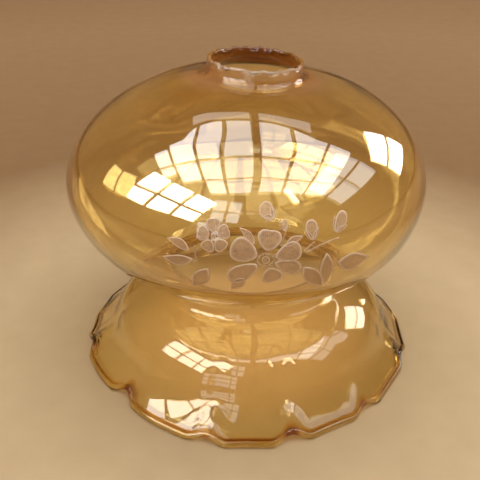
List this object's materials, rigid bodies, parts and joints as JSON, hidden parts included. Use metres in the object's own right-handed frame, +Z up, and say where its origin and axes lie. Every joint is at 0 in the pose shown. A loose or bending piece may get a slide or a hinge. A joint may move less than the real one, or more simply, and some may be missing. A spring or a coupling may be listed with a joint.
{
  "type": "lamp shade",
  "caption": "Blown amber glass lamp shade: flattened globe with a collared fitter hole over a narrow waist and a flared skirt with a crimped rim, engraved with a floral spray.",
  "frame": {"origin": "centre of the circle that the rim rests on, on the surface it stands on", "axes": "+Z up along the shade's axis, through the fitter hole; the engraved front faces -Y, +X to the right"},
  "size_m": [0.18, 0.1803, 0.161],
  "materials": {
    "amber_glass": "clear, glossy, with a faint lustre",
    "collar_glass": "clear, glossy, with a rough cracked-off edge",
    "lip_glass": "clear, fire-polished",
    "engraved_frost": "matt, wheel-engraved"
  },
  "bodies": {
    "root": {"fitter_collar": "collar_glass", "globe_crown": "amber_glass", "globe_shoulder": "amber_glass", "globe_belly": "amber_glass", "globe_base": "amber_glass", "waist_fold": "amber_glass", "skirt_bell": "amber_glass", "crimped_rim": "lip_glass", "engraved_flower": "engraved_frost", "engraved_blossom": "engraved_frost", "engraved_buds": "engraved_frost", "engraved_leaves": "engraved_frost", "engraved_stems": "engraved_frost"}
  },
  "joints": []
}
